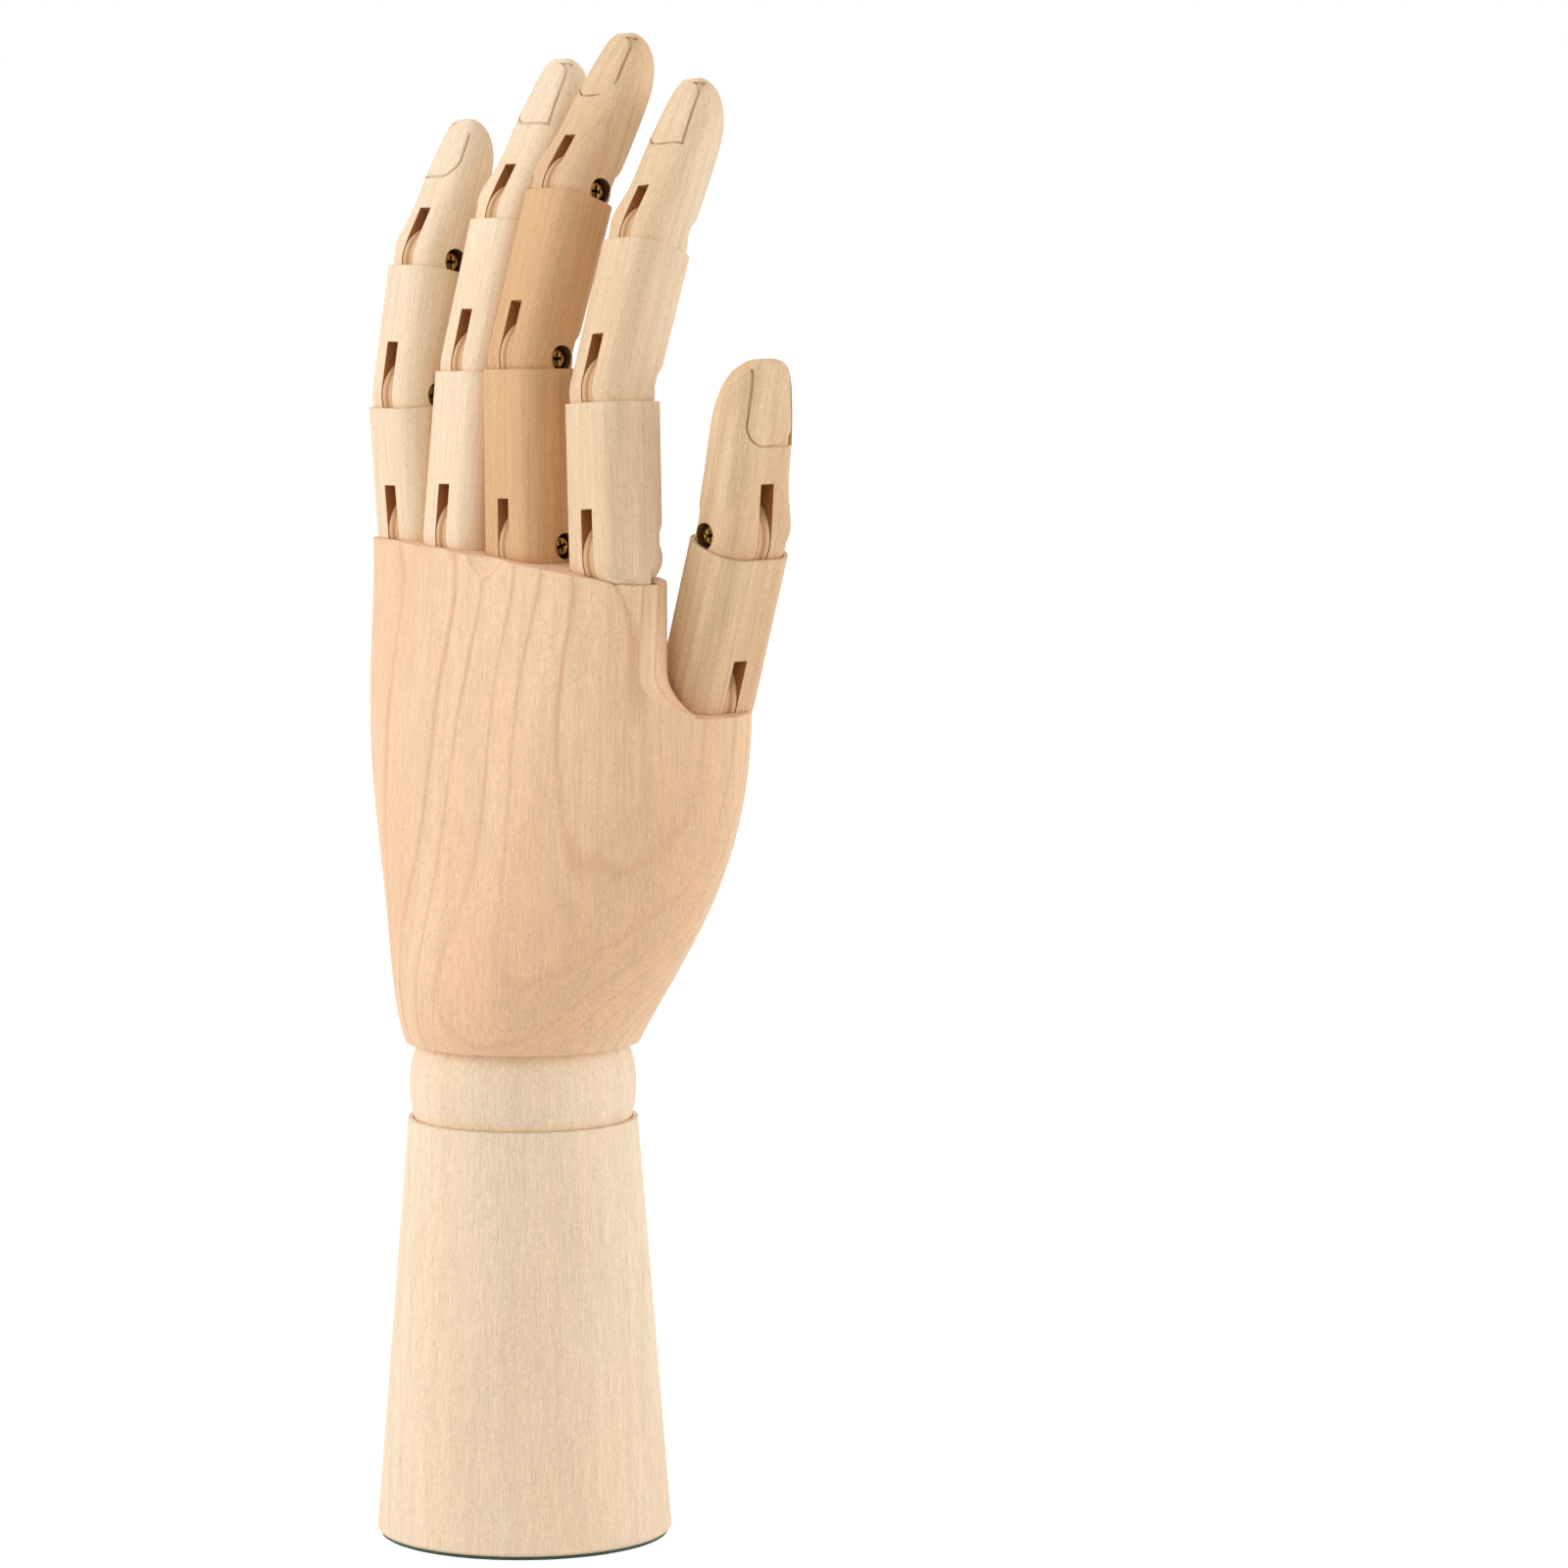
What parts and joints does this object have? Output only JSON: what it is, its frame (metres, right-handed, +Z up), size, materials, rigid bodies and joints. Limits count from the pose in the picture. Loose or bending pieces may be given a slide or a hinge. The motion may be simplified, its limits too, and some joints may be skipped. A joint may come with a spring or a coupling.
{
  "type": "jointed wooden hand model",
  "caption": "Life-size jointed left hand of pale carved wood, with bendable fingers and thumb and a ball wrist, standing on its tapered forearm.",
  "frame": {"origin": "centre of the felt's underside, on the surface that the hand stands on", "axes": "+Z up along the forearm, +X towards the thumb side, -Y out of the back of the hand and +Y out of the palm"},
  "size_m": [0.0964, 0.0627, 0.3048],
  "materials": {
    "pale_wood": "sanded bare basswood",
    "rosy_wood": "sanded bare basswood with a pinkish grain",
    "tan_wood": "sanded bare basswood of a warmer tan",
    "tongue_wood": "sawn plywood edge",
    "brass": "aged brass screw",
    "spring_steel": "drawn steel wire",
    "felt": "pressed felt"
  },
  "bodies": {
    "stand": {"forearm": "pale_wood", "felt_pad": "felt", "forearm_spring_pin": "spring_steel"},
    "wrist_turner": {"wrist_spring": "spring_steel"},
    "wrist_tilter": {"wrist_ball": "pale_wood"},
    "hand": {"palm": "rosy_wood", "palm_spring_pin": "spring_steel", "index_knuckle_tongue": "tongue_wood", "middle_knuckle_tongue": "tongue_wood", "ring_knuckle_tongue": "tongue_wood", "little_knuckle_tongue": "tongue_wood", "thumb_knuckle_tongue": "tongue_wood"},
    "index_base": {"index_base_segment": "pale_wood", "index_knuckle_screw": "brass", "index_centre_joint_tongue": "tongue_wood"},
    "index_centre": {"index_centre_segment": "pale_wood", "index_centre_joint_screw": "brass", "index_tip_joint_tongue": "tongue_wood"},
    "index_tip": {"index_tip_segment": "pale_wood", "index_tip_joint_screw": "brass"},
    "middle_base": {"middle_base_segment": "tan_wood", "middle_knuckle_screw": "brass", "middle_centre_joint_tongue": "tongue_wood"},
    "middle_centre": {"middle_centre_segment": "tan_wood", "middle_centre_joint_screw": "brass", "middle_tip_joint_tongue": "tongue_wood"},
    "middle_tip": {"middle_tip_segment": "tan_wood", "middle_tip_joint_screw": "brass"},
    "ring_base": {"ring_base_segment": "pale_wood", "ring_knuckle_screw": "brass", "ring_centre_joint_tongue": "tongue_wood"},
    "ring_centre": {"ring_centre_segment": "pale_wood", "ring_centre_joint_screw": "brass", "ring_tip_joint_tongue": "tongue_wood"},
    "ring_tip": {"ring_tip_segment": "pale_wood", "ring_tip_joint_screw": "brass"},
    "little_base": {"little_base_segment": "pale_wood", "little_knuckle_screw": "brass", "little_centre_joint_tongue": "tongue_wood"},
    "little_centre": {"little_centre_segment": "pale_wood", "little_centre_joint_screw": "brass", "little_tip_joint_tongue": "tongue_wood"},
    "little_tip": {"little_tip_segment": "pale_wood", "little_tip_joint_screw": "brass"},
    "thumb_base": {"thumb_base_segment": "tan_wood", "thumb_knuckle_screw": "brass", "thumb_tip_joint_tongue": "tongue_wood"},
    "thumb_tip": {"thumb_tip_segment": "tan_wood", "thumb_tip_joint_screw": "brass"}
  },
  "joints": [
    {"name": "wrist_turn", "type": "hinge", "parent": "stand", "child": "wrist_turner", "pos_m": [0, 0, 0.0924], "axis": [0, 0, 1], "range_deg": [-90, 90], "deforming": ["wrist_spring"]},
    {"name": "wrist_side_tilt", "type": "hinge", "parent": "wrist_turner", "child": "wrist_tilter", "pos_m": [0, 0, 0.0924], "axis": [0, 1, 0], "range_deg": [-25, 25], "deforming": ["wrist_spring"]},
    {"name": "wrist_bend", "type": "hinge", "parent": "wrist_tilter", "child": "hand", "pos_m": [0, 0, 0.0924], "axis": [1, 0, 0], "range_deg": [-25, 25], "deforming": ["wrist_spring"]},
    {"name": "index_knuckle", "type": "hinge", "parent": "hand", "child": "index_base", "pos_m": [0.0296, 0.002, 0.2012], "axis": [-0.9952, 0, -0.0976], "range_deg": [-13, 42]},
    {"name": "index_centre_joint", "type": "hinge", "parent": "index_base", "child": "index_centre", "pos_m": [0.0264, 0.00372, 0.2338], "axis": [-0.9952, 0, -0.0976], "range_deg": [-28.5, 56.5]},
    {"name": "index_tip_joint", "type": "hinge", "parent": "index_centre", "child": "index_tip", "pos_m": [0.02352, 0.01537, 0.26325], "axis": [-0.9952, 0, -0.0976], "range_deg": [-15, 60]},
    {"name": "middle_knuckle", "type": "hinge", "parent": "hand", "child": "middle_base", "pos_m": [0.0069, -0.0011, 0.2024], "axis": [-0.9986, 0, -0.0523], "range_deg": [-12, 43]},
    {"name": "middle_centre_joint", "type": "hinge", "parent": "middle_base", "child": "middle_centre", "pos_m": [0.00494, 0.00021, 0.23983], "axis": [-0.9986, 0, -0.0523], "range_deg": [-28, 57]},
    {"name": "middle_tip_joint", "type": "hinge", "parent": "middle_centre", "child": "middle_tip", "pos_m": [0.00321, 0.01225, 0.27286], "axis": [-0.9986, 0, -0.0523], "range_deg": [-19, 56]},
    {"name": "ring_knuckle", "type": "hinge", "parent": "hand", "child": "ring_base", "pos_m": [-0.0121, -0.0024, 0.2035], "axis": [-0.999, 0, -0.0436], "range_deg": [-18, 37]},
    {"name": "ring_centre_joint", "type": "hinge", "parent": "ring_base", "child": "ring_centre", "pos_m": [-0.01359, 0.0024, 0.23763], "axis": [-0.999, 0, -0.0436], "range_deg": [-20, 65]},
    {"name": "ring_tip_joint", "type": "hinge", "parent": "ring_centre", "child": "ring_tip", "pos_m": [-0.01486, 0.01189, 0.2668], "axis": [-0.999, 0, -0.0436], "range_deg": [-17.5, 57.5]},
    {"name": "little_knuckle", "type": "hinge", "parent": "hand", "child": "little_base", "pos_m": [-0.03, -0.0009, 0.2038], "axis": [-0.9994, 0, -0.0349], "range_deg": [-7, 48]},
    {"name": "little_centre_joint", "type": "hinge", "parent": "little_base", "child": "little_centre", "pos_m": [-0.03095, -0.00233, 0.23115], "axis": [-0.9994, 0, -0.0349], "range_deg": [-25, 60]},
    {"name": "little_tip_joint", "type": "hinge", "parent": "little_centre", "child": "little_tip", "pos_m": [-0.03189, 0.00338, 0.25803], "axis": [-0.9994, 0, -0.0349], "range_deg": [-20, 55]},
    {"name": "thumb_knuckle", "type": "hinge", "parent": "hand", "child": "thumb_base", "pos_m": [0.0344, 0.0184, 0.1738], "axis": [0, -1, 0], "range_deg": [-2.5, 62.5]},
    {"name": "thumb_tip_joint", "type": "hinge", "parent": "thumb_base", "child": "thumb_tip", "pos_m": [0.04519, 0.0184, 0.20604], "axis": [0, -1, 0], "range_deg": [-16, 64]}
  ]
}
